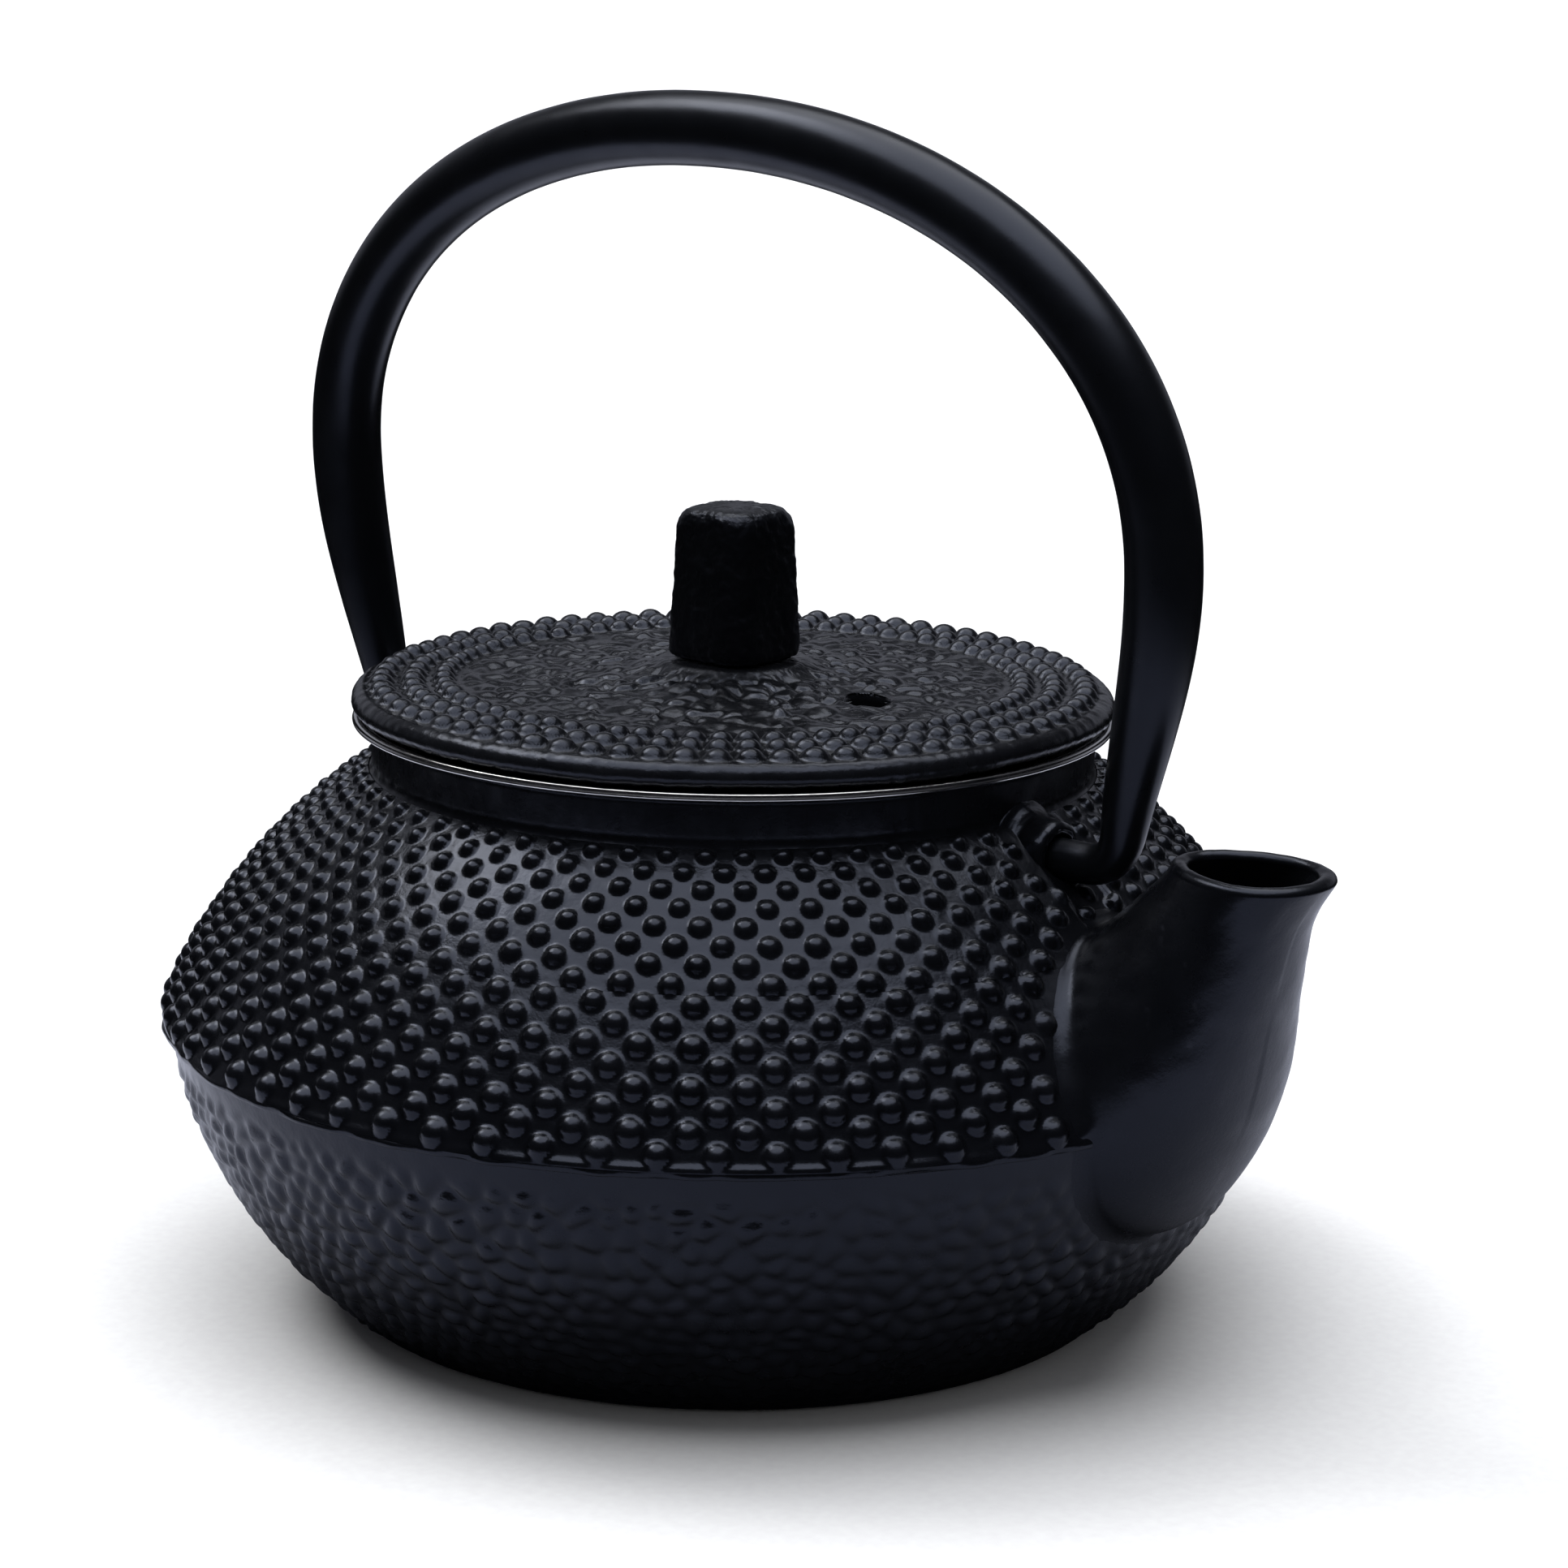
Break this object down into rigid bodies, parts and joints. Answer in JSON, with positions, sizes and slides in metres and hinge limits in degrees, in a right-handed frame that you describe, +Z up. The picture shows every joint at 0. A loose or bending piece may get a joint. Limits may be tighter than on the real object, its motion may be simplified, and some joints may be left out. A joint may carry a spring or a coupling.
{
  "type": "teapot infuser",
  "caption": "Squat cast-iron teapot with studded shoulder, short spout, folding arched bail, lift-out steel infuser basket and a knobbed lid.",
  "frame": {"origin": "middle of the flat base, on the surface the pot stands on, on the axis of the round body", "axes": "+Z up along the body's axis, +X along the spout, the bail's hinge axis parallel to X"},
  "size_m": [0.1314, 0.118, 0.1248],
  "materials": {
    "enamelled_iron": "black semi-gloss enamel over cast iron",
    "lid_iron": "black semi-gloss enamel over cast iron",
    "knob_iron": "black satin enamel over rough cast iron",
    "bail_enamel": "smooth satin black enamel on a drawn iron bail",
    "polished_steel": "polished stainless sheet",
    "rivet_steel": "plain steel",
    "steel_mesh": "fine woven stainless mesh"
  },
  "bodies": {
    "pot": {"pot_shoulder": "enamelled_iron", "pot_belly": "enamelled_iron", "pot_floor": "enamelled_iron", "pot_spout": "enamelled_iron"},
    "bail": {"handle_bail": "bail_enamel"},
    "infuser": {"infuser_collar": "polished_steel", "infuser_mesh_wall": "steel_mesh", "infuser_mesh_floor": "steel_mesh", "infuser_base_hoop": "polished_steel"},
    "lid": {"lid": "lid_iron", "lid_knob": "knob_iron", "knob_washer": "rivet_steel", "knob_rivet": "rivet_steel"}
  },
  "joints": [
    {"name": "bail_fold", "type": "hinge", "parent": "pot", "child": "bail", "pos_m": [0, 0, 0.0525], "axis": [1, 0, 0], "range_deg": [-108, 101]},
    {"name": "infuser_lift", "type": "slide", "parent": "pot", "child": "infuser", "axis": [0, 0, 1], "range_m": [0, 0.022]},
    {"name": "lid_lift", "type": "slide", "parent": "infuser", "child": "lid", "axis": [0, 0, 1], "range_m": [0, 0.01]}
  ]
}
